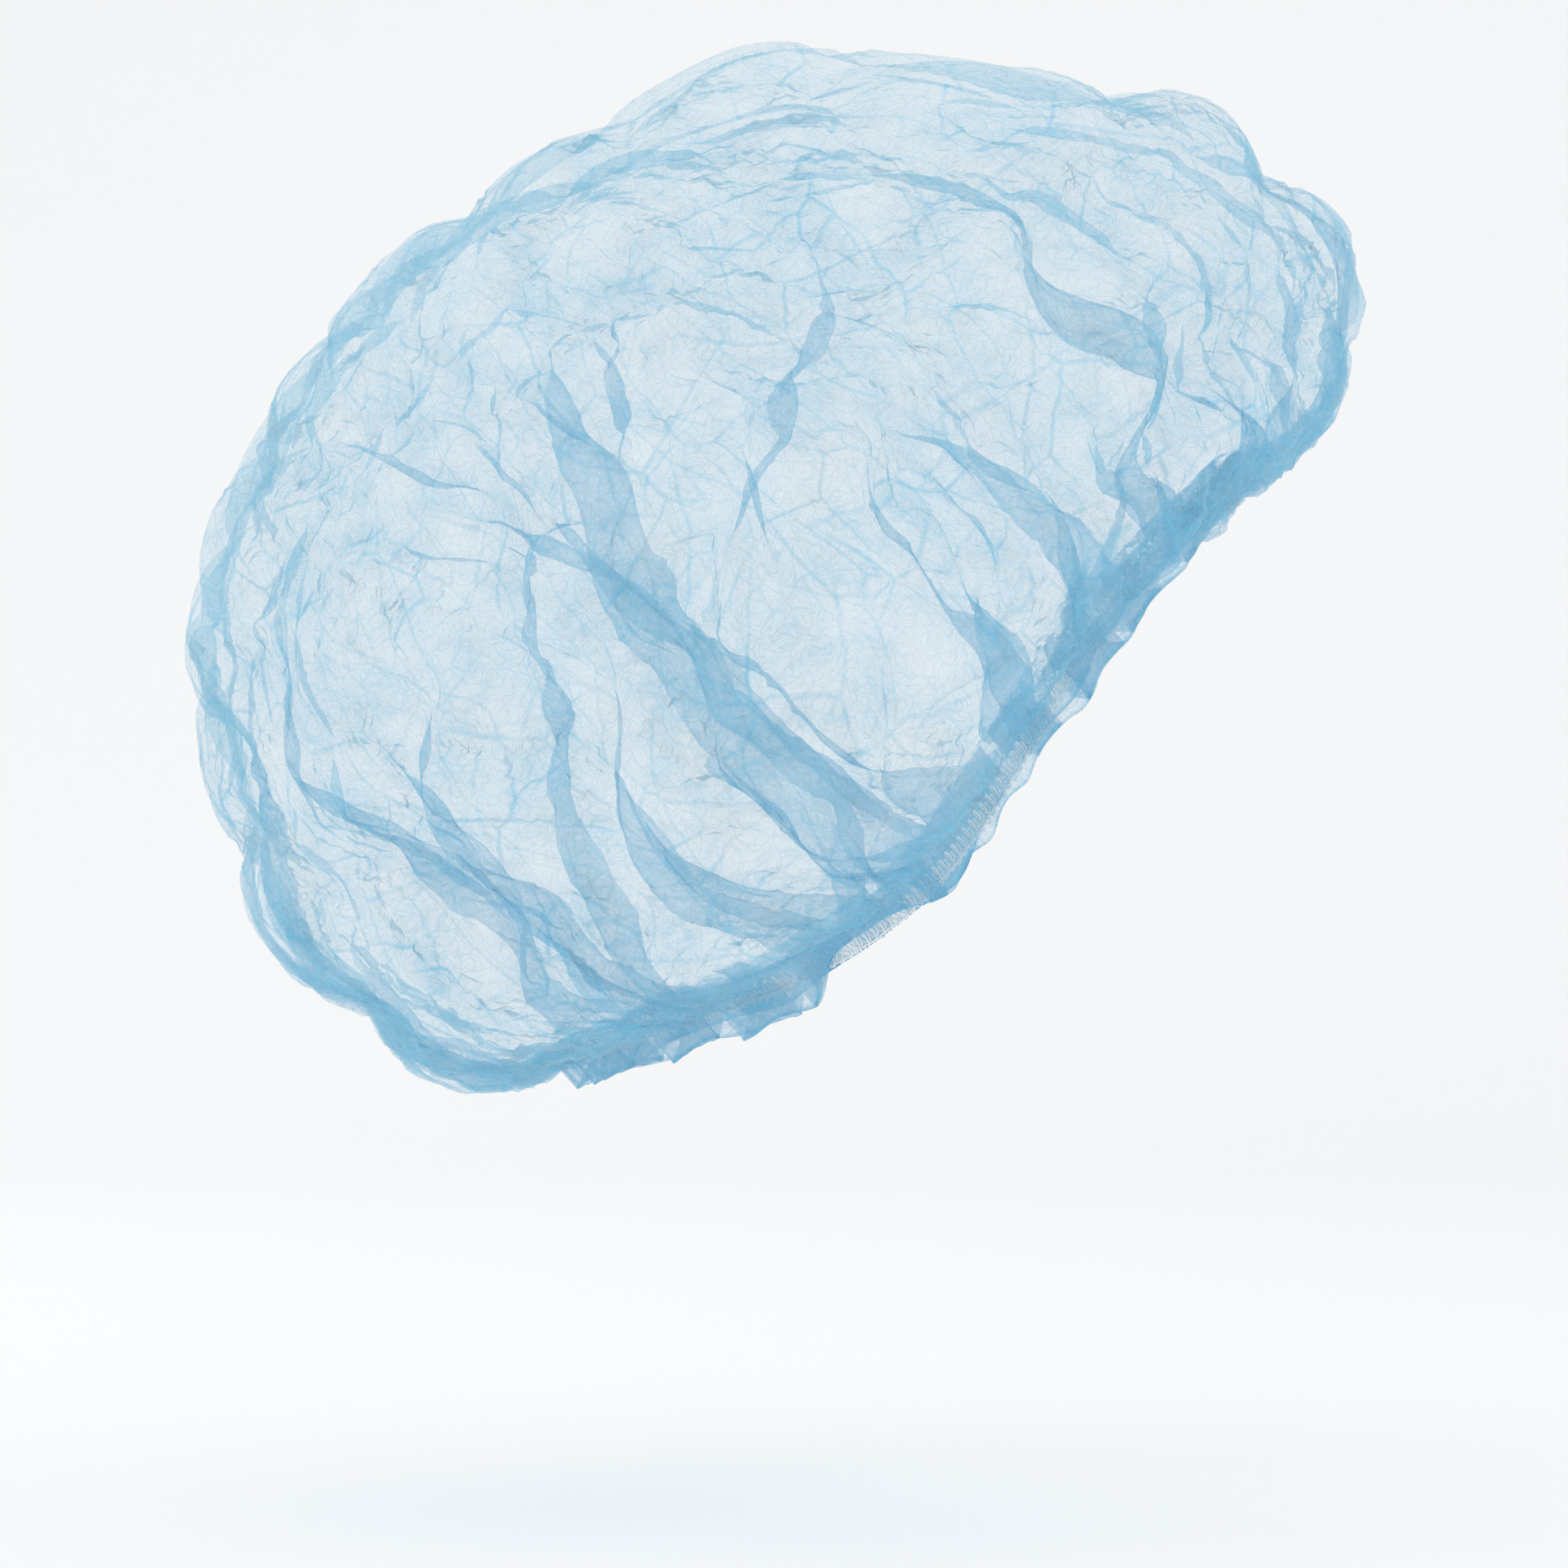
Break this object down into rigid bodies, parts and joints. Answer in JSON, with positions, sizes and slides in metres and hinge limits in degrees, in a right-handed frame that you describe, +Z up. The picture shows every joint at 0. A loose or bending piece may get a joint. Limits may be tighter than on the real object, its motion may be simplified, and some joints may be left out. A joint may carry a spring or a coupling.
{
  "type": "disposable hairnet",
  "caption": "Worn disposable hairnet: a puffed, sheer nonwoven crown gathered into a turned hem over an elastic band.",
  "frame": {"origin": "middle of the opening that the head goes in, at the cloth's edge", "axes": "+X towards the wearer's front, +Y towards the wearer's left, +Z up; the opening is tilted 41 degrees, high at the forehead and low at the nape"},
  "size_m": [0.2532, 0.2276, 0.2229],
  "materials": {
    "crown_cloth": "sheer light blue spunbond nonwoven, matt",
    "turned_hem": "the same nonwoven in a double layer, matt",
    "elastic_band": "white knitted elastic, matt"
  },
  "bodies": {
    "root": {"crown_cloth": "crown_cloth", "turned_hem": "turned_hem", "elastic_band": "elastic_band"}
  },
  "joints": []
}
